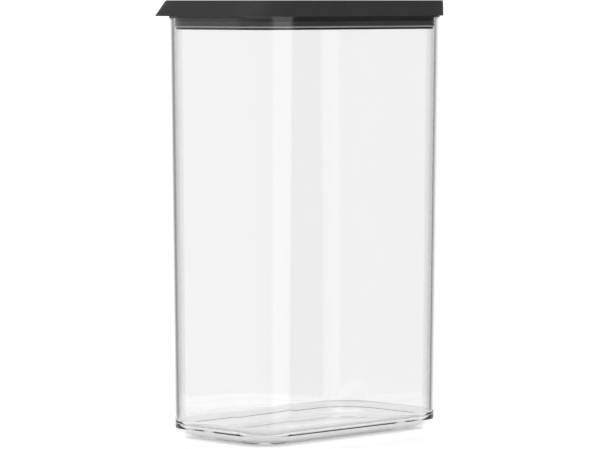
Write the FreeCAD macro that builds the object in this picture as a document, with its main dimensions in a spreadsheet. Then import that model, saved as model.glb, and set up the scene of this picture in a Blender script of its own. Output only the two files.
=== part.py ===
# Tall clear storage jar with a lift-off lid and a soft seal ring, in millimetres.
# Z is up and the feet stand on Z = 0. X runs along the long side, and the lid's lifting lip is at the -X end.
import FreeCAD, Part
import Sketcher
import math
import os

doc = FreeCAD.newDocument("StorageJar")

# Driving sizes: alias, value, what it measures
sizes = [
    ("jar_length", 163.2, "outside of the wall at the rim, along X"),
    ("jar_width", 95.4, "outside of the wall at the rim, along Y"),
    ("jar_height", 256.7, "from the table to the rim"),
    ("corner_radius", 26.0, "outside of the upright corners at the rim"),
    ("side_draft", 0.633, "lean of the walls, in degrees per side"),
    ("jar_wall", 2.4, "wall of the jar"),
    ("floor_thickness", 2.8, "floor of the jar"),
    ("floor_fillet", 7.8, "inside radius between floor and wall"),
    ("foot_height", 0.8, "feet below the floor"),
    ("foot_diameter", 7.4, "round feet"),
    ("foot_round", 0.3, "lower edge of the feet"),
    ("plinth_height", 5.1, "underside of the floor to the wall's lower edge"),
    ("plinth_inset", 1.1, "plinth inside the wall's lower edge"),
    ("plinth_slope", 32.0, "lean of the plinth's side, in degrees from upright"),
    ("plinth_round", 10.5, "lower edge of the plinth"),
    ("step_round", 0.4, "lower edge of the wall above the plinth"),
    ("flange_proud", 0.9, "rim flange outside the wall"),
    ("flange_height", 5.3, "upright part of the rim flange"),
    ("flange_flare", 3.0, "sloped part under the rim flange"),
    ("rim_round", 0.5, "upper edges of the rim"),
    ("panel_thickness", 3.7, "lid top above the rim"),
    ("skirt_drop", 5.6, "skirt below the rim"),
    ("skirt_wall", 1.3, "wall of the skirt"),
    ("skirt_gap", 0.3, "room between rim flange and skirt"),
    ("skirt_draft", 1.5, "lean of the skirt, in degrees"),
    ("lip_reach", 8.4, "tip of the lifting lip beyond the lid's top edge"),
    ("lip_wall", 1.8, "wall of the lip, measured level"),
    ("lid_round", 0.6, "upper edge of the lid"),
    ("recess_depth", 1.5, "stacking recess in the lid top"),
    ("recess_gap", 0.8, "room between the recess and the plinth of a jar stacked on it"),
    ("recess_round", 0.8, "floor edge of the stacking recess"),
    ("border_round", 0.4, "upper edge of the stacking recess"),
    ("plug_depth", 13.5, "plug below the rim"),
    ("plug_gap", 0.6, "room between plug and jar wall"),
    ("plug_wall", 1.4, "plug behind the seal"),
    ("keeper_height", 1.2, "ledge under the seal"),
    ("keeper_gap", 1.2, "room between ledge and jar wall"),
    ("keeper_round", 0.5, "lower outer edge of the ledge"),
    ("seal_seat", 1.2, "depth of the seal's seat in the plug"),
    ("seal_height", 3.6, "seal ring"),
    ("seal_gap", 0.25, "room between seal and jar wall"),
    ("seal_round", 1.0, "lower outer edge of the seal"),
    ("seal_slot_depth", 0.4, "slot between the two lips of the seal"),
    ("seal_slot_height", 0.8, "slot between the two lips of the seal"),
    ("seal_lip_height", 0.9, "upper lip of the seal"),
]

sheet = doc.addObject("Spreadsheet::Sheet", "Sizes")
for row, (alias, value, note) in enumerate(sizes, 1):
    sheet.set(f"A{row}", alias)
    sheet.set(f"B{row}", str(value))
    sheet.set(f"C{row}", note)
    sheet.setAlias(f"B{row}", alias)
doc.recompute()

# Heights above the table
floor_under = "Sizes.foot_height"
floor_top = "(Sizes.foot_height + Sizes.floor_thickness)"
step = "(Sizes.foot_height + Sizes.plinth_height)"
bevel = "(Sizes.floor_fillet * (2 - sqrt(2)))"
bevel_top = f"({floor_top} + {bevel})"
rim = "Sizes.jar_height"
flange_base = "(Sizes.jar_height - Sizes.flange_height)"
flare_base = "(Sizes.jar_height - Sizes.flange_height - Sizes.flange_flare)"
lid_top = "(Sizes.jar_height + Sizes.panel_thickness)"
recess_floor = "(Sizes.jar_height + Sizes.panel_thickness - Sizes.recess_depth)"
skirt_foot = "(Sizes.jar_height - Sizes.skirt_drop)"
plug_foot = "(Sizes.jar_height - Sizes.plug_depth)"
seal_foot = "(Sizes.jar_height - Sizes.plug_depth + Sizes.keeper_height)"
seal_top = "(Sizes.jar_height - Sizes.plug_depth + Sizes.keeper_height + Sizes.seal_height)"
slot_top = f"({seal_top} - Sizes.seal_lip_height)"


# Every outline is the rim's outline grown outwards by some amount, or inwards where that is negative.
def wall_outside(height):
    return f"(-tan(Sizes.side_draft) * (Sizes.jar_height - {height}))"


def wall_inside(height):
    return f"({wall_outside(height)} - Sizes.jar_wall)"


def skirt_inside(height):
    return f"(Sizes.flange_proud + Sizes.skirt_gap + tan(Sizes.skirt_draft) * (Sizes.jar_height - {height}))"


def skirt_outside(height):
    return f"({skirt_inside(height)} + Sizes.skirt_wall)"


def lip_outside(height):
    return f"(Sizes.lip_reach * ({lid_top} - {height}) / (Sizes.panel_thickness + Sizes.skirt_drop))"


def lip_inside(height):
    return f"({lip_outside(height)} + Sizes.skirt_wall - Sizes.lip_wall)"


plug_outside = f"({wall_inside(plug_foot)} - Sizes.plug_gap)"
seat_outside = f"({plug_outside} - Sizes.seal_seat)"
plug_inside = f"({seat_outside} - Sizes.plug_wall)"
keeper_outside = f"({wall_inside(plug_foot)} - Sizes.keeper_gap)"
seal_outside = f"({wall_inside(plug_foot)} - Sizes.seal_gap)"
slot_inside = f"({seal_outside} - Sizes.seal_slot_depth)"
flange_outside = "Sizes.flange_proud"
plinth_outside = f"({wall_outside(step)} - Sizes.plinth_inset)"
plinth_corner = f"({plinth_outside} - Sizes.plinth_height * tan(Sizes.plinth_slope))"

# Rounds take most of the length of the side they lie on, and the plinth's round no more than that
side_share = 0.97
floor_bend = f"({side_share} * Sizes.floor_fillet)"
round_reach = "tan((90 - Sizes.plinth_slope) / 2)"
round_limit = f"({side_share} * Sizes.plinth_height / cos(Sizes.plinth_slope) / {round_reach})"
plinth_bend = f"min(Sizes.plinth_round; {round_limit})"

# The recess takes the plinth as wide as it is at the recess's depth above its feet
sunk = "(Sizes.recess_depth - Sizes.foot_height)"
plinth_flat = f"({plinth_corner} - {plinth_bend} * {round_reach})"
plinth_sunk = f"({plinth_flat} + sqrt(2 * {plinth_bend} * {sunk} - {sunk} * {sunk}))"
recess_outside = f"({plinth_sunk} + Sizes.recess_gap)"

touch = 0.001  # how near two heights count as one


def new_body(label):
    body = doc.addObject("PartDesign::Body", label)
    body.Label = label
    body.setExpression("Placement.Base.x", "Sizes.lip_reach / 2")
    return body


def new_sketch(body, name, height):
    plane = next(p for p in body.Origin.OriginFeatures if p.Role == "XY_Plane")
    sketch = body.newObject("Sketcher::SketchObject", name)
    sketch.AttachmentSupport = (plane, [""])
    sketch.MapMode = "FlatFace"
    sketch.setExpression("AttachmentOffset.Base.z", height)
    return sketch


def bind(sketch, name, constraint, expression):
    sketch.renameConstraint(sketch.addConstraint(constraint), name)
    sketch.setExpression(f"Constraints.{name}", expression)


def add_outline(sketch, tag, grow, reach="0"):
    # A rounded rectangle: four sides and four corners, its -X end moved out by the reach
    right = f"Sizes.jar_length / 2 + {grow}"
    left = f"Sizes.jar_length / 2 + {grow} + {reach}"
    half_width = f"Sizes.jar_width / 2 + {grow}"
    radius = f"Sizes.corner_radius + {grow}"
    x_right, x_left, y, r = (float(sketch.evalExpression(e)) for e in (right, left, half_width, radius))
    point = FreeCAD.Vector
    ends = [
        (point(r - x_left, -y), point(x_right - r, -y)),
        (point(x_right, r - y), point(x_right, y - r)),
        (point(x_right - r, y), point(r - x_left, y)),
        (point(-x_left, y - r), point(-x_left, r - y)),
    ]
    slant = r * math.sqrt(0.5)
    middles = [
        point(x_right - r + slant, r - y - slant),
        point(x_right - r + slant, y - r + slant),
        point(r - x_left - slant, y - r + slant),
        point(r - x_left - slant, r - y - slant),
    ]
    front, right_end, back, left_end = (sketch.addGeometry(Part.LineSegment(*pair)) for pair in ends)
    sides = [front, right_end, back, left_end]
    corners = []
    for i, middle in enumerate(middles):
        arc = Part.Arc(ends[i][1], middle, ends[(i + 1) % 4][0])
        corners.append(sketch.addGeometry(arc))
    for i, corner in enumerate(corners):
        sketch.addConstraint(Sketcher.Constraint("Tangent", sides[i], 2, corner, 1))
        sketch.addConstraint(Sketcher.Constraint("Tangent", corner, 2, sides[(i + 1) % 4], 1))
    for side in (front, back):
        sketch.addConstraint(Sketcher.Constraint("Horizontal", side))
    for side in (right_end, left_end):
        sketch.addConstraint(Sketcher.Constraint("Vertical", side))
    for corner in corners[1:]:
        sketch.addConstraint(Sketcher.Constraint("Equal", corners[0], corner))
    bind(sketch, f"{tag}_radius", Sketcher.Constraint("Radius", corners[0], r), radius)
    bind(sketch, f"{tag}_right", Sketcher.Constraint("DistanceX", -1, 1, right_end, 1, x_right), right)
    bind(sketch, f"{tag}_left", Sketcher.Constraint("DistanceX", left_end, 1, -1, 1, x_left), left)
    bind(sketch, f"{tag}_front", Sketcher.Constraint("DistanceY", front, 1, -1, 1, y), half_width)
    bind(sketch, f"{tag}_back", Sketcher.Constraint("DistanceY", -1, 1, back, 1, y), half_width)


def outline(body, name, height, grow, reach="0"):
    sketch = new_sketch(body, name, height)
    add_outline(sketch, "edge", grow, reach)
    return sketch


def ring(body, name, height, outer, inner):
    sketch = new_sketch(body, name, height)
    add_outline(sketch, "outer", outer)
    add_outline(sketch, "inner", inner)
    return sketch


def extrude(body, kind, name, sketch, length, downwards=False):
    feature = body.newObject(f"PartDesign::{kind}", name)
    feature.Profile = sketch
    feature.setExpression("Length", length)
    feature.Reversed = downwards
    doc.recompute()
    return feature


def loft(body, kind, name, first, last):
    feature = body.newObject(f"PartDesign::{kind}", name)
    feature.Profile = first
    feature.Sections = [last]
    feature.Ruled = True
    doc.recompute()
    return feature


def distance_outside_rim(point):
    # How far a point lies outside the rim's outline, in plan
    core_x = abs(point.x) - (sheet.jar_length / 2 - sheet.corner_radius)
    core_y = abs(point.y) - (sheet.jar_width / 2 - sheet.corner_radius)
    return math.hypot(max(core_x, 0), max(core_y, 0)) - sheet.corner_radius


def level_edges(feature, height, grow=None):
    # Names of the edges that lie level at this height, and on one outline where its growth is given
    level = float(feature.evalExpression(height))
    names = []
    for number, edge in enumerate(feature.Shape.Edges, 1):
        points = edge.discretize(3)
        fits = all(abs(p.z - level) < touch for p in points)
        if fits and grow is not None:
            offset = float(feature.evalExpression(grow))
            fits = all(abs(distance_outside_rim(p) - offset) < touch for p in points)
        if fits:
            names.append(f"Edge{number}")
    return names


def round_edges(body, name, base, height, radius, grow=None):
    feature = body.newObject("PartDesign::Fillet", name)
    feature.Base = (base, level_edges(base, height, grow))
    feature.setExpression("Radius", radius)
    doc.recompute()
    return feature


def make_jar():
    body = new_body("jar")
    foot_x = "Sizes.jar_length / 2 - Sizes.corner_radius"
    foot_y = "Sizes.jar_width / 2 - Sizes.corner_radius"

    # Plinth that narrows downwards into a wide round, then the drafted wall standing on it as one block
    low = outline(body, "PlinthFoot", floor_under, plinth_corner)
    high = outline(body, "PlinthTop", step, plinth_outside)
    plinth = loft(body, "AdditiveLoft", "Plinth", low, high)
    round_edges(body, "PlinthEdge", plinth, floor_under, plinth_bend)
    low = outline(body, "WallFoot", step, wall_outside(step))
    high = outline(body, "WallTop", rim, wall_outside(rim))
    wall = loft(body, "AdditiveLoft", "Wall", low, high)
    round_edges(body, "StepEdge", wall, step, "Sizes.step_round")

    # Rim flange with its flare
    low = outline(body, "FlareFoot", flare_base, wall_outside(flare_base))
    high = outline(body, "FlareTop", flange_base, flange_outside)
    loft(body, "AdditiveLoft", "Flare", low, high)
    band = outline(body, "FlangeOutline", flange_base, flange_outside)
    extrude(body, "Pad", "Flange", band, "Sizes.flange_height")

    # Inside, with a bevel between floor and wall that is rounded into a bowl, and a rounded rim
    low = outline(body, "InsideFoot", bevel_top, wall_inside(bevel_top))
    high = outline(body, "InsideTop", rim, wall_inside(rim))
    loft(body, "SubtractiveLoft", "Inside", low, high)
    low = outline(body, "BowlFoot", floor_top, f"({wall_inside(bevel_top)} - {bevel})")
    high = outline(body, "BowlTop", bevel_top, wall_inside(bevel_top))
    bowl = loft(body, "SubtractiveLoft", "Bowl", low, high)
    bowl = round_edges(body, "FloorEdge", bowl, floor_top, floor_bend)
    bowl = round_edges(body, "WallEdge", bowl, bevel_top, floor_bend)
    round_edges(body, "RimEdge", bowl, rim, "Sizes.rim_round")

    # Four feet under the centres of the upright corners
    spots = new_sketch(body, "FootOutlines", floor_under)
    radius = float(spots.evalExpression("Sizes.foot_diameter / 2"))
    x, y = (float(spots.evalExpression(e)) for e in (foot_x, foot_y))
    for number, (along, across) in enumerate([(1, 1), (-1, 1), (-1, -1), (1, -1)], 1):
        center = FreeCAD.Vector(along * x, across * y)
        circle = spots.addGeometry(Part.Circle(center, FreeCAD.Vector(0, 0, 1), radius))
        x_ends = (-1, 1, circle, 3) if along > 0 else (circle, 3, -1, 1)
        y_ends = (-1, 1, circle, 3) if across > 0 else (circle, 3, -1, 1)
        bind(spots, f"foot{number}_x", Sketcher.Constraint("DistanceX", *x_ends, x), foot_x)
        bind(spots, f"foot{number}_y", Sketcher.Constraint("DistanceY", *y_ends, y), foot_y)
        size = Sketcher.Constraint("Diameter", circle, 2 * radius)
        bind(spots, f"foot{number}_size", size, "Sizes.foot_diameter")
    feet = extrude(body, "Pad", "Feet", spots, "Sizes.foot_height", downwards=True)
    round_edges(body, "FootEdges", feet, "0", "Sizes.foot_round")
    return body


def make_lid():
    body = new_body("lid")

    # Outer form: the skirt leans out a little, and its -X end flares out into the lifting lip
    low = outline(body, "SkirtFoot", skirt_foot, skirt_outside(skirt_foot), lip_outside(skirt_foot))
    high = outline(body, "LidTop", lid_top, skirt_outside(lid_top))
    shell = loft(body, "AdditiveLoft", "Shell", high, low)
    round_edges(body, "LidEdge", shell, lid_top, "Sizes.lid_round")

    # Hollow under the panel, which the rim fills apart from the lip's finger room
    low = outline(body, "HollowFoot", skirt_foot, skirt_inside(skirt_foot), lip_inside(skirt_foot))
    high = outline(body, "HollowTop", rim, skirt_inside(rim), lip_inside(rim))
    loft(body, "SubtractiveLoft", "Hollow", low, high)

    # Stacking recess for the plinth of the jar above
    mark = outline(body, "RecessOutline", lid_top, recess_outside)
    recess = extrude(body, "Pocket", "Recess", mark, "Sizes.recess_depth")
    tray = round_edges(body, "RecessEdge", recess, recess_floor, "Sizes.recess_round")
    round_edges(body, "BorderEdge", tray, lid_top, "Sizes.border_round", recess_outside)

    # Plug with the seal's seat and the ledge that keeps the seal on
    band = ring(body, "PlugOutline", seal_top, plug_outside, plug_inside)
    extrude(body, "Pad", "Plug", band, "Sizes.plug_depth - Sizes.keeper_height - Sizes.seal_height")
    band = ring(body, "SeatOutline", seal_foot, seat_outside, plug_inside)
    extrude(body, "Pad", "Seat", band, "Sizes.seal_height")
    band = ring(body, "KeeperOutline", plug_foot, keeper_outside, plug_inside)
    keeper = extrude(body, "Pad", "Keeper", band, "Sizes.keeper_height")
    round_edges(body, "KeeperEdge", keeper, plug_foot, "Sizes.keeper_round", keeper_outside)
    return body


def make_seal():
    body = new_body("lid_seal")
    band = ring(body, "SealOutline", seal_foot, seal_outside, seat_outside)
    extrude(body, "Pad", "Seal", band, "Sizes.seal_height")
    mark = ring(body, "SlotOutline", slot_top, seal_outside, slot_inside)
    slot = extrude(body, "Pocket", "Slot", mark, "Sizes.seal_slot_height")
    round_edges(body, "SealEdge", slot, seal_foot, "Sizes.seal_round", seal_outside)
    return body


bodies = [make_jar(), make_lid(), make_seal()]
doc.recompute()

# Nothing is written unless every feature came out whole and every cut took material away
for item in doc.Objects:
    if "Invalid" in item.State or "Error" in item.State:
        raise RuntimeError(f"{item.Label} failed: {item.State}")
    if item.TypeId in ("PartDesign::Pocket", "PartDesign::SubtractiveLoft"):
        if item.Shape.Volume >= item.BaseFeature.Shape.Volume:
            raise RuntimeError(f"{item.Label} cut nothing")
for body in bodies:
    if body.Shape.isNull() or not body.Shape.isValid():
        raise RuntimeError(f"{body.Label} has no sound shape")

os.makedirs("parts", exist_ok=True)
for body in bodies:
    body.Shape.exportStep(f"parts/{body.Label}.step")
    box = body.Shape.optimalBoundingBox()
    print(f"{body.Label}: {body.Shape.Volume / 1000:.1f} cm3, {len(body.Shape.Solids)} solid,"
          f" {box.XLength:.1f} x {box.YLength:.1f} x {box.ZLength:.1f} mm")
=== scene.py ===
import bpy
import bmesh
import math
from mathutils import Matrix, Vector


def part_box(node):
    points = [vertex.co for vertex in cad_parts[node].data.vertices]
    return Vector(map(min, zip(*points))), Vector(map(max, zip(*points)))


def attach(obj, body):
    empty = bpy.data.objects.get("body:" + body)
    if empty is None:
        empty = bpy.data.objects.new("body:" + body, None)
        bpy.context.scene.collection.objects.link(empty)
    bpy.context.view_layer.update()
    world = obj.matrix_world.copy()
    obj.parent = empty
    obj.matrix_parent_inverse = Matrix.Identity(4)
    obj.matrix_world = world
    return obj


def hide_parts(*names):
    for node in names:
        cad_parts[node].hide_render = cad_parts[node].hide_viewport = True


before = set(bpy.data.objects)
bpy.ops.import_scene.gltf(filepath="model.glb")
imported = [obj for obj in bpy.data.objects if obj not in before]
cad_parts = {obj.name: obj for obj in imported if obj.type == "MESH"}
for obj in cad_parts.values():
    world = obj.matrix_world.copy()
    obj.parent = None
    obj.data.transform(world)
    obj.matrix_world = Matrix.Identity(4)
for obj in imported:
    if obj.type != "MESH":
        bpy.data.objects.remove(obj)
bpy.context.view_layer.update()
mm = 0.001

# every outline on the jar, lid and seal is the jar's rim outline grown out or in by some amount
plan = {
    "flangeProud": 0.9 * mm,   # rim flange outside the wall
    "cornerRadius": 26.0 * mm,
    "cornerSteps": 40,
    "sharpAngle": 35,          # degrees between faces from which an edge stays crisp
}

jarLow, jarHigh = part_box("jar")
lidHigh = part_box("lid")[1]
sealLow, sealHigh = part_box("lid_seal")
jarCenter = (jarLow + jarHigh) / 2
coreX = (jarHigh.x - jarLow.x) / 2 - plan["flangeProud"] - plan["cornerRadius"]
coreY = (jarHigh.y - jarLow.y) / 2 - plan["flangeProud"] - plan["cornerRadius"]


def outlineRing(grow, reach=0.0):
    # points once round the outline, with the -X end moved out by the reach
    points = []
    radius = plan["cornerRadius"] + grow
    steps = plan["cornerSteps"]
    corners = [(1, -1, -90), (1, 1, 0), (-1, 1, 90), (-1, -1, 180)]
    for sideX, sideY, startAngle in corners:
        cornerX = jarCenter.x + sideX * coreX - (reach if sideX < 0 else 0.0)
        cornerY = jarCenter.y + sideY * coreY
        for i in range(steps + 1):
            angle = math.radians(startAngle + 90 * i / steps)
            points.append((cornerX + radius * math.cos(angle), cornerY + radius * math.sin(angle)))
    return points


# profile rows hold how far the outline is grown, the height and the reach
def straight(*corners):
    return [(grow, z, 0.0) for grow, z in corners]


def bend(centerGrow, centerZ, radius, fromDeg, toDeg, steps):
    # an arc of the profile, angle 0 pointing outwards and 90 up
    rows = []
    for i in range(steps + 1):
        angle = math.radians(fromDeg + (toDeg - fromDeg) * i / steps)
        rows.append((centerGrow + radius * math.cos(angle), centerZ + radius * math.sin(angle), 0.0))
    return rows


def sweepRows(mesh, rows, closed=False):
    # one ring of points per profile row, joined by quads
    rings = []
    for grow, z, reach in rows:
        rings.append([mesh.verts.new((x, y, z)) for x, y in outlineRing(grow, reach)])
    pairs = list(zip(rings, rings[1:]))
    if closed:
        pairs.append((rings[-1], rings[0]))
    for low, high in pairs:
        count = len(low)
        for i in range(count):
            j = (i + 1) % count
            mesh.faces.new((low[i], low[j], high[j], high[i]))
    return rings


def ringEdges(mesh, ring):
    return [mesh.edges.get((ring[i - 1], ring[i])) for i in range(len(ring))]


def makePiece(name, mesh, material, body, node):
    bmesh.ops.recalc_face_normals(mesh, faces=mesh.faces)
    data = bpy.data.meshes.new(name)
    mesh.to_mesh(data)
    mesh.free()
    data.shade_smooth()
    data.set_sharp_from_angle(angle=math.radians(plan["sharpAngle"]))
    data.materials.append(material)
    piece = bpy.data.objects.new(name, data)
    bpy.context.scene.collection.objects.link(piece)
    weighted = piece.modifiers.new("evenNormals", "WEIGHTED_NORMAL")
    weighted.keep_sharp = True
    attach(piece, body)
    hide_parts(node)
    print("made", name, len(data.polygons), "faces")
    return piece


# most of a noise's values lie between these two
noiseSpan = (0.3, 0.7)


def newMaterial(name):
    material = bpy.data.materials.new(name)
    material.use_nodes = True
    tree = material.node_tree
    return material, tree, tree.nodes["Principled BSDF"]


def noiseOn(tree, scale, detail, stretch=(1.0, 1.0, 1.0)):
    # noise fixed to the piece, in metres, so that it rides along with it
    coords = tree.nodes.new("ShaderNodeTexCoord")
    place = tree.nodes.new("ShaderNodeMapping")
    place.inputs["Scale"].default_value = stretch
    tree.links.new(coords.outputs["Object"], place.inputs["Vector"])
    noise = tree.nodes.new("ShaderNodeTexNoise")
    noise.inputs["Scale"].default_value = scale
    noise.inputs["Detail"].default_value = detail
    tree.links.new(place.outputs["Vector"], noise.inputs["Vector"])
    return noise.outputs["Fac"]


def spread(tree, value, span, result=(0.0, 1.0), eased=False):
    # the span's first and second ends become the result's first and second
    node = tree.nodes.new("ShaderNodeMapRange")
    if eased:
        node.interpolation_type = "SMOOTHSTEP"
    node.inputs["From Min"].default_value = span[0]
    node.inputs["From Max"].default_value = span[1]
    node.inputs["To Min"].default_value = result[0]
    node.inputs["To Max"].default_value = result[1]
    tree.links.new(value, node.inputs["Value"])
    return node.outputs["Result"]


def addBump(tree, value, strength, depth):
    node = tree.nodes.new("ShaderNodeBump")
    node.inputs["Strength"].default_value = strength
    node.inputs["Distance"].default_value = depth
    tree.links.new(value, node.inputs["Height"])
    tree.links.new(node.outputs["Normal"], tree.nodes["Principled BSDF"].inputs["Normal"])


# clear jar
clearJar = {
    "wall": 2.4 * mm,
    "draft": math.tan(math.radians(0.633)),
    "floor": 2.8 * mm,
    "floorBend": 7.8 * mm,
    "footHeight": 0.8 * mm,
    "footWidth": 7.4 * mm,
    "footRound": 0.3 * mm,
    "footSteps": 40,
    "plinthHeight": 5.1 * mm,
    "plinthInset": 1.1 * mm,
    "baseSlope": 32.0,
    "baseRound": 10.5 * mm,
    "stepRound": 0.4 * mm,
    "flangeHeight": 5.3 * mm,
    "flare": 3.0 * mm,
    "rimRound": 0.5 * mm,
    "bendSteps": 14,
    "tint": 0.95,
    "refraction": 1.57,
    "waveScale": 60.0,
    "waveDetail": 1.0,
    "waveStretch": (1.0, 1.0, 0.03),
    "waveStrength": 0.05,
    "waveDepth": 0.4 * mm,
    "polishScale": 35.0,
    "polishDetail": 2.0,
    "roughness": (0.0, 0.012),
}


def clearPlastic():
    look = clearJar
    material, tree, shader = newMaterial("clearPlastic")
    tint = look["tint"]
    shader.inputs["Base Color"].default_value = (tint, tint, tint, 1.0)
    shader.inputs["Transmission Weight"].default_value = 1.0
    shader.inputs["IOR"].default_value = look["refraction"]
    # faint upright flow waves from moulding, and a slightly uneven polish
    waves = noiseOn(tree, look["waveScale"], look["waveDetail"], look["waveStretch"])
    addBump(tree, waves, look["waveStrength"], look["waveDepth"])
    polish = noiseOn(tree, look["polishScale"], look["polishDetail"])
    tree.links.new(spread(tree, polish, noiseSpan, look["roughness"]), shader.inputs["Roughness"])
    return material


def wallOutside(z):
    return -clearJar["draft"] * (jarHigh.z - z)


def wallInside(z):
    return wallOutside(z) - clearJar["wall"]


def plinthTop():
    # outline and height at which the plinth meets the step above it
    step = clearJar["footHeight"] + clearJar["plinthHeight"]
    return wallOutside(step) - clearJar["plinthInset"], step


def baseFlat():
    # outline at which the round of the base runs out into the flat underside
    slope = math.radians(clearJar["baseSlope"])
    corner = plinthTop()[0] - clearJar["plinthHeight"] * math.tan(slope)
    return corner - clearJar["baseRound"] * math.tan((math.pi / 2 - slope) / 2)


def growFoot(mesh, center):
    # a round foot, open at the top, which gives back the edges of its opening
    size = clearJar
    radius = size["footWidth"] / 2
    steps = size["bendSteps"] // 2
    profile = [(radius, size["footHeight"])]
    for i in range(steps + 1):
        angle = math.radians(90 * i / steps)
        inset = size["footRound"] * (1 - math.cos(angle))
        drop = size["footRound"] * (1 - math.sin(angle))
        profile.append((radius - inset, drop))
    loops = []
    for footRadius, z in profile:
        loop = []
        for i in range(size["footSteps"]):
            turn = 2 * math.pi * i / size["footSteps"]
            spot = center + Vector((footRadius * math.cos(turn), footRadius * math.sin(turn), z))
            loop.append(mesh.verts.new(spot))
        loops.append(loop)
    for upper, lower in zip(loops, loops[1:]):
        for i in range(size["footSteps"]):
            mesh.faces.new((upper[i - 1], upper[i], lower[i], lower[i - 1]))
    mesh.faces.new(loops[-1])
    return ringEdges(mesh, loops[0])


def makeJar():
    size = clearJar
    steps = size["bendSteps"]
    proud = plan["flangeProud"]
    rim = jarHigh.z
    under = size["footHeight"]
    floorTop = under + size["floor"]
    flangeBase = rim - size["flangeHeight"]
    flareBase = flangeBase - size["flare"]
    plinth, step = plinthTop()
    baseRound = size["baseRound"]
    rows = bend(baseFlat(), under + baseRound, baseRound, -90, -size["baseSlope"], 2 * steps)
    rows += straight((plinth, step))
    stepRound = size["stepRound"]
    rows += bend(wallOutside(step) - stepRound, step + stepRound, stepRound, -90, 0, steps // 2)
    rows += straight((wallOutside(flareBase), flareBase), (proud, flangeBase))
    rimRound = size["rimRound"]
    rows += bend(proud - rimRound, rim - rimRound, rimRound, 0, 90, steps // 2)
    rows += bend(-size["wall"] + rimRound, rim - rimRound, rimRound, 90, 180, steps // 2)
    floorBend = size["floorBend"]
    bendTop = floorTop + floorBend
    rows += bend(wallInside(bendTop) - floorBend, bendTop, floorBend, 0, -90, steps)
    mesh = bmesh.new()
    rings = sweepRows(mesh, rows)
    mesh.faces.new(rings[-1])

    # feet grow out of the underside, so the whole jar is one closed skin
    edges = ringEdges(mesh, rings[0])
    for sideX in (1, -1):
        for sideY in (1, -1):
            center = Vector((jarCenter.x + sideX * coreX, jarCenter.y + sideY * coreY, 0.0))
            edges += growFoot(mesh, center)
    bmesh.ops.triangle_fill(mesh, use_beauty=True, use_dissolve=False, edges=edges)
    return makePiece("clear_jar", mesh, clearPlastic(), "container", "jar")


# dark lid
darkLid = {
    "skirtDrop": 5.6 * mm,
    "skirtWall": 1.3 * mm,
    "skirtGap": 0.3 * mm,
    "skirtDraft": math.tan(math.radians(1.5)),
    "lipReach": 8.4 * mm,
    "lipWall": 1.8 * mm,
    "topRound": 0.6 * mm,
    "recessDepth": 1.5 * mm,
    "recessGap": 0.8 * mm,
    "recessRound": 0.8 * mm,
    "borderRound": 0.4 * mm,
    "plugDepth": 13.5 * mm,
    "plugGap": 0.6 * mm,
    "plugWall": 1.4 * mm,
    "keeperHeight": 1.2 * mm,
    "keeperGap": 1.2 * mm,
    "keeperRound": 0.5 * mm,
    "sealSeat": 1.2 * mm,
    "sealHeight": 3.6 * mm,
    "bendSteps": 8,
    "shine": 0.12,
    "grainScale": 2600.0,
    "grainDetail": 3.0,
    "grainStrength": 0.25,
    "grainDepth": 0.05 * mm,
    "patchScale": 90.0,
    "patchDetail": 3.0,
    "roughness": (0.52, 0.66),
    "tone": (0.042, 0.047),
}


def darkPlastic():
    look = darkLid
    material, tree, shader = newMaterial("darkSatinPlastic")
    shader.inputs["Specular IOR Level"].default_value = look["shine"]
    # fine spark-eroded grain, with broad uneven patches in tone and sheen
    grain = noiseOn(tree, look["grainScale"], look["grainDetail"])
    addBump(tree, grain, look["grainStrength"], look["grainDepth"])
    patches = noiseOn(tree, look["patchScale"], look["patchDetail"])
    tree.links.new(spread(tree, patches, noiseSpan, look["roughness"]), shader.inputs["Roughness"])
    tree.links.new(spread(tree, patches, noiseSpan, look["tone"]), shader.inputs["Base Color"])
    return material


def makeLid():
    size = darkLid
    steps = size["bendSteps"]
    rim = jarHigh.z
    top = lidHigh.z
    foot = rim - size["skirtDrop"]

    def skirtInside(z):
        return plan["flangeProud"] + size["skirtGap"] + size["skirtDraft"] * (rim - z)

    def skirtOutside(z):
        return skirtInside(z) + size["skirtWall"]

    def lipOutside(z):
        return size["lipReach"] * (top - z) / (top - foot)

    def lipInside(z):
        return lipOutside(z) + size["skirtWall"] - size["lipWall"]

    plugFoot = rim - size["plugDepth"]
    sealFoot = plugFoot + size["keeperHeight"]
    sealTop = sealFoot + size["sealHeight"]
    plug = wallInside(plugFoot) - size["plugGap"]
    seat = plug - size["sealSeat"]
    bore = seat - size["plugWall"]
    keeper = wallInside(plugFoot) - size["keeperGap"]
    # the recess in the top takes the base of another jar
    sunk = size["recessDepth"] - clearJar["footHeight"]
    recess = baseFlat() + math.sqrt(2 * clearJar["baseRound"] * sunk - sunk * sunk) + size["recessGap"]
    recessFloor = top - size["recessDepth"]
    recessRound = size["recessRound"]
    rows = bend(recess - recessRound, recessFloor + recessRound, recessRound, -90, 0, steps)
    borderRound = size["borderRound"]
    rows += bend(recess + borderRound, top - borderRound, borderRound, 180, 90, steps)
    topRound = size["topRound"]
    rows += bend(skirtOutside(top) - topRound, top - topRound, topRound, 90, 0, steps)
    # outside the rim's outline the -X end leans out into the lifting lip
    rows = [(grow, z, lipOutside(z) if grow > 0 and z < top else 0.0) for grow, z, _ in rows]
    rows.append((skirtOutside(foot), foot, lipOutside(foot)))
    rows.append((skirtInside(foot), foot, lipInside(foot)))
    rows.append((skirtInside(rim), rim, lipInside(rim)))
    rows += straight((plug, rim), (plug, sealTop), (seat, sealTop), (seat, sealFoot), (keeper, sealFoot))
    keeperRound = size["keeperRound"]
    rows += bend(keeper - keeperRound, plugFoot + keeperRound, keeperRound, 0, -90, steps)
    rows += straight((bore, plugFoot), (bore, rim))
    mesh = bmesh.new()
    rings = sweepRows(mesh, rows)
    mesh.faces.new(rings[0])
    mesh.faces.new(rings[-1])
    return makePiece("dark_lid", mesh, darkPlastic(), "cover", "lid")


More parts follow.
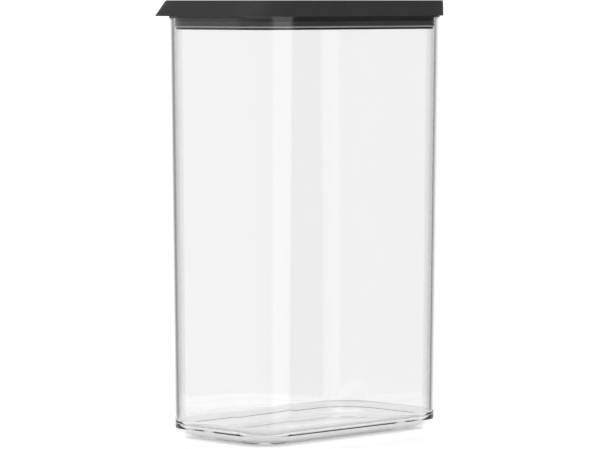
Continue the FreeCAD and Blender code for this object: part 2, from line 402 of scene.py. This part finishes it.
# soft seal ring
softSeal = {
    "gap": 0.25 * mm,
    "round": 1.0 * mm,
    "slotDepth": 0.4 * mm,
    "slotHeight": 0.8 * mm,
    "lipHeight": 0.9 * mm,
    "bendSteps": 8,
    "grainScale": 1500.0,
    "grainDetail": 2.0,
    "grainStrength": 0.2,
    "grainDepth": 0.05 * mm,
    "patchScale": 140.0,
    "patchDetail": 2.0,
    "roughness": (0.36, 0.5),
    "tone": 0.1,
    # painted glow on the thin lower lip: its pale tone, the height where it ends and the softness of that
    # edge
    "paintedGlowTone": 0.85,
    "paintedGlowHeight": 0.8 * mm,
    "paintedGlowEdge": 0.1 * mm,
}


def softRubber():
    look = softSeal
    material, tree, shader = newMaterial("softSealRubber")
    grain = noiseOn(tree, look["grainScale"], look["grainDetail"])
    addBump(tree, grain, look["grainStrength"], look["grainDepth"])
    patches = noiseOn(tree, look["patchScale"], look["patchDetail"])
    tree.links.new(spread(tree, patches, noiseSpan, look["roughness"]), shader.inputs["Roughness"])
    # painted light: the thin lower lip is painted pale, standing for light shining through it
    coords = tree.nodes.new("ShaderNodeTexCoord")
    split = tree.nodes.new("ShaderNodeSeparateXYZ")
    tree.links.new(coords.outputs["Object"], split.inputs[0])
    lip = sealLow.z + look["paintedGlowHeight"]
    edge = (lip - look["paintedGlowEdge"], lip + look["paintedGlowEdge"])
    tone = spread(tree, split.outputs["Z"], edge, (look["paintedGlowTone"], look["tone"]))
    tree.links.new(tone, shader.inputs["Base Color"])
    return material


def makeSeal():
    size = softSeal
    plugFoot = jarHigh.z - darkLid["plugDepth"]
    outer = wallInside(plugFoot) - size["gap"]
    inner = wallInside(plugFoot) - darkLid["plugGap"] - darkLid["sealSeat"]
    foot = sealLow.z
    top = sealHigh.z
    slotTop = top - size["lipHeight"]
    slotFoot = slotTop - size["slotHeight"]
    slot = outer - size["slotDepth"]
    rows = straight((inner, foot))
    rows += bend(outer - size["round"], foot + size["round"], size["round"], -90, 0, size["bendSteps"])
    rows += straight((outer, slotFoot), (slot, slotFoot), (slot, slotTop), (outer, slotTop))
    rows += straight((outer, top), (inner, top))
    mesh = bmesh.new()
    sweepRows(mesh, rows, closed=True)
    return makePiece("seal_ring", mesh, softRubber(), "cover", "lid_seal")


makeJar()
makeLid()
makeSeal()

# studio: a white table top under the jar, glowing with a painted contact shadow, and a ring of soft light
# and dark all round
studio = {
    "floorSize": 0.16,
    "floorFade": 0.105,   # the patch is whole up to here and gone at its edge
    "floorSegments": 128,
    "floorWhite": 0.45,
    "floorRoughness": 0.35,
    "floorShine": 0.25,
    "floorPaintedLight": [
        # mm outside the rim's outline, and the table's painted glow there, dimmed where a contact shadow
        # is painted
        (-26, 0.48), (-18.5, 0.45), (-15, 0.32), (-4.5, 0.72), (0, 0.72), (24, 0.56),
    ],
    # fades are in degrees above the level, from nothing to full
    "upper": 0.12,
    "upperFade": (36, 44),
    "overhead": 4.2,
    "overheadFade": (58, 72),
    "table": 1.0,
    "tableFade": (-8.0, -11.0),
    # a greyer part of the table beyond the jar
    "gap": 0.7,
    "gapTopFade": (-7.4, -8.4),
    "gapFootFade": (-34.0, -30.0),
    "gapHeading": 45.3,
    "gapSideFade": (80, 65),   # degrees to either side of its heading
    "ring": [
        # heading in degrees from +X, strength of the light from there
        (-180, 0.36), (-135, 0.25), (-118, 0.25), (-106, 0.9), (-60, 0.85), (-50, 0.07), (-45, 0.07),
        (-16, 0.06), (0, 0.2), (10, 0.49), (18, 0.76), (26, 0.94), (34, 1.03), (39, 1.11), (40.3, 1.17),
        (51.5, 1.17), (57, 1.065), (61, 0.95), (65, 0.765), (70, 0.53), (76, 0.26), (82, 0.2), (87, 0.42),
        (92, 0.5), (98, 0.55), (150, 0.48), (165, 0.36),
    ],
}


def makeRamp(tree, pairs, start, stop):
    # eased steps between pairs of place and strength
    ramp = tree.nodes.new("ShaderNodeValToRGB")
    ramp.color_ramp.interpolation = "EASE"
    stops = ramp.color_ramp.elements
    while len(stops) < len(pairs):
        stops.new(0.5)
    # all the places first, because moving a stop can change the order of the stops
    for rampStop, (place, _) in zip(stops, pairs):
        rampStop.position = (place - start) / (stop - start)
    for rampStop, (_, strength) in zip(stops, pairs):
        rampStop.color = (strength, strength, strength, 1.0)
    return ramp


def feed(tree, socket, value):
    # a plain number is set on the socket, and anything else is linked to it
    if isinstance(value, (int, float)):
        socket.default_value = value
    else:
        tree.links.new(value, socket)


def makeWorld():
    world = bpy.data.worlds.new("studioLight")
    bpy.context.scene.world = world
    world.use_nodes = True
    tree = world.node_tree

    def compute(operation, *values):
        node = tree.nodes.new("ShaderNodeMath")
        node.operation = operation
        for socket, value in zip(node.inputs, values):
            feed(tree, socket, value)
        return node.outputs[0]

    def blend(factor, first, second):
        node = tree.nodes.new("ShaderNodeMix")
        feed(tree, node.inputs["Factor"], factor)
        feed(tree, node.inputs["A"], first)
        feed(tree, node.inputs["B"], second)
        return node.outputs["Result"]

    coords = tree.nodes.new("ShaderNodeTexCoord")
    split = tree.nodes.new("ShaderNodeSeparateXYZ")
    tree.links.new(coords.outputs["Generated"], split.inputs[0])
    heading = compute("ARCTAN2", split.outputs["Y"], split.outputs["X"])
    ring = makeRamp(tree, studio["ring"], -180, 180)
    # the whole turn from -pi to pi runs along the ramp from 0 to 1
    tree.links.new(compute("MULTIPLY_ADD", heading, 0.5 / math.pi, 0.5), ring.inputs["Fac"])

    degrees = 180 / math.pi
    rise = compute("MULTIPLY", compute("ARCSINE", split.outputs["Z"]), degrees)
    light = ring.outputs["Color"]
    for part in ("upper", "overhead", "table"):
        light = blend(spread(tree, rise, studio[part + "Fade"], eased=True), light, studio[part])
    away = compute("SUBTRACT", heading, math.radians(studio["gapHeading"]))
    away = compute("MULTIPLY", compute("ABSOLUTE", away), degrees)
    aside = spread(tree, away, studio["gapSideFade"], eased=True)
    below = spread(tree, rise, studio["gapTopFade"], eased=True)
    above = spread(tree, rise, studio["gapFootFade"], eased=True)
    inGap = compute("MULTIPLY", aside, compute("MULTIPLY", below, above))
    light = blend(inGap, light, studio["gap"])
    background = tree.nodes["Background"]
    tree.links.new(light, background.inputs["Strength"])
    background.inputs["Color"].default_value = (1.0, 1.0, 1.0, 1.0)
    print("studio light set")


def makeFloor():
    mesh = bmesh.new()
    bmesh.ops.create_circle(
        mesh, cap_ends=True, segments=studio["floorSegments"], radius=studio["floorSize"])
    data = bpy.data.meshes.new("paleFloor")
    mesh.to_mesh(data)
    mesh.free()
    floor = bpy.data.objects.new("paleFloor", data)
    floor.location = (jarCenter.x, jarCenter.y, 0.0)
    bpy.context.scene.collection.objects.link(floor)
    material, tree, shader = newMaterial("paleFloor")
    white = studio["floorWhite"]
    shader.inputs["Base Color"].default_value = (white, white, white, 1.0)
    shader.inputs["Roughness"].default_value = studio["floorRoughness"]
    shader.inputs["Specular IOR Level"].default_value = studio["floorShine"]
    shader.inputs["Emission Color"].default_value = (1.0, 1.0, 1.0, 1.0)
    coords = tree.nodes.new("ShaderNodeTexCoord")

    def vector(operation, value, other=(0.0, 0.0, 0.0)):
        node = tree.nodes.new("ShaderNodeVectorMath")
        node.operation = operation
        tree.links.new(value, node.inputs[0])
        node.inputs[1].default_value = other
        return node.outputs["Value" if operation == "LENGTH" else "Vector"]

    # painted light and shade: the table's glow is painted dim some way under the jar as a contact shadow,
    # paler in the middle where light comes through the jar, and bright along the rim's outline
    spot = coords.outputs["Object"]
    beyond = vector("SUBTRACT", vector("ABSOLUTE", spot), (coreX, coreY, 0.0))
    fromCore = vector("LENGTH", vector("MAXIMUM", beyond))
    pairs = studio["floorPaintedLight"]
    first, last = pairs[0][0], pairs[-1][0]
    radius = plan["cornerRadius"]
    paintedTableLight = makeRamp(tree, pairs, first, last)
    place = spread(tree, fromCore, (radius + first * mm, radius + last * mm))
    tree.links.new(place, paintedTableLight.inputs["Fac"])
    tree.links.new(paintedTableLight.outputs["Color"], shader.inputs["Emission Strength"])
    # the patch fades out into the studio
    fade = spread(tree, vector("LENGTH", spot), (studio["floorSize"], studio["floorFade"]), eased=True)
    tree.links.new(fade, shader.inputs["Alpha"])
    data.materials.append(material)
    print("floor laid")


# camera of the photograph, found by fitting its outline
view = {
    "turn": 44.66,       # degrees off the +Y heading, towards +X
    "tilt": 3.636,       # degrees down
    "distance": 2.1387,  # level distance to the jar's middle
    "height": 0.2615,
    "aside": 0.00357,    # jar's middle right of the camera's line
    "lens": 213.5,
    "sensor": 36.0,
    "sightEnd": 50.0,
}


def makeCamera():
    turn = math.radians(view["turn"])
    ahead = Vector((math.sin(turn), math.cos(turn), 0.0))
    rightward = Vector((math.cos(turn), -math.sin(turn), 0.0))
    data = bpy.data.cameras.new("photoCamera")
    data.lens = view["lens"]
    data.sensor_width = view["sensor"]
    data.clip_end = view["sightEnd"]
    camera = bpy.data.objects.new("photoCamera", data)
    middle = Vector((jarCenter.x, jarCenter.y, 0.0))
    spot = middle - ahead * view["distance"] - rightward * view["aside"]
    camera.location = (spot.x, spot.y, view["height"])
    camera.rotation_euler = (math.radians(90 - view["tilt"]), 0.0, -turn)
    bpy.context.scene.collection.objects.link(camera)
    bpy.context.scene.camera = camera
    print("camera placed")


makeWorld()
makeFloor()
makeCamera()

# the clear walls need many bounces
scene = bpy.context.scene
scene.view_settings.view_transform = "Standard"
scene.cycles.use_denoising = True
scene.cycles.max_bounces = 128
scene.cycles.transmission_bounces = 128
scene.cycles.glossy_bounces = 16
scene.cycles.diffuse_bounces = 6
scene.cycles.transparent_max_bounces = 16
